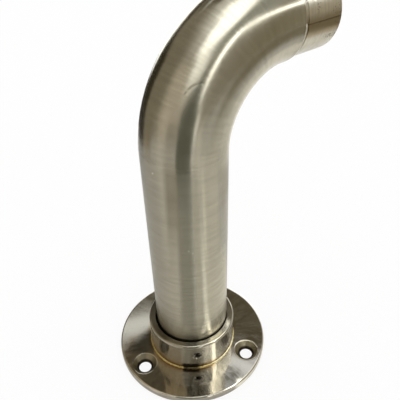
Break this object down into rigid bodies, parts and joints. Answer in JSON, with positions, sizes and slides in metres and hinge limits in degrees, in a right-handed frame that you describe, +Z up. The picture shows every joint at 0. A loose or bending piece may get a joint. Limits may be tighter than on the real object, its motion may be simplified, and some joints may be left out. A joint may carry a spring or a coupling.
{
  "type": "railing base flange",
  "caption": "Round floor flange with a welded socket that holds a bent rail tube ending in a slimmer spigot.",
  "frame": {"origin": "centre of the plate's underside, on the floor", "axes": "+Z up along the socket, +X the way the bent arm and its spigot point"},
  "size_m": [0.1477, 0.1084, 0.2529],
  "materials": {
    "polished_steel": "mirror polished",
    "satin_steel": "satin, brushed round the tube",
    "turned_steel": "fine turned and buffed",
    "heat_tint": "straw gold heat tint",
    "dark_steel": "dark plated",
    "ground_steel": "ground round the sleeve",
    "weld_metal": "bright as welded"
  },
  "bodies": {
    "root": {"flange_plate": "polished_steel", "socket_collar": "turned_steel", "collar_weld": "heat_tint", "grub_screw": "dark_steel", "bent_tube": "satin_steel", "spigot_sleeve": "ground_steel", "spigot_weld": "weld_metal", "tack_weld": "weld_metal"}
  },
  "joints": []
}
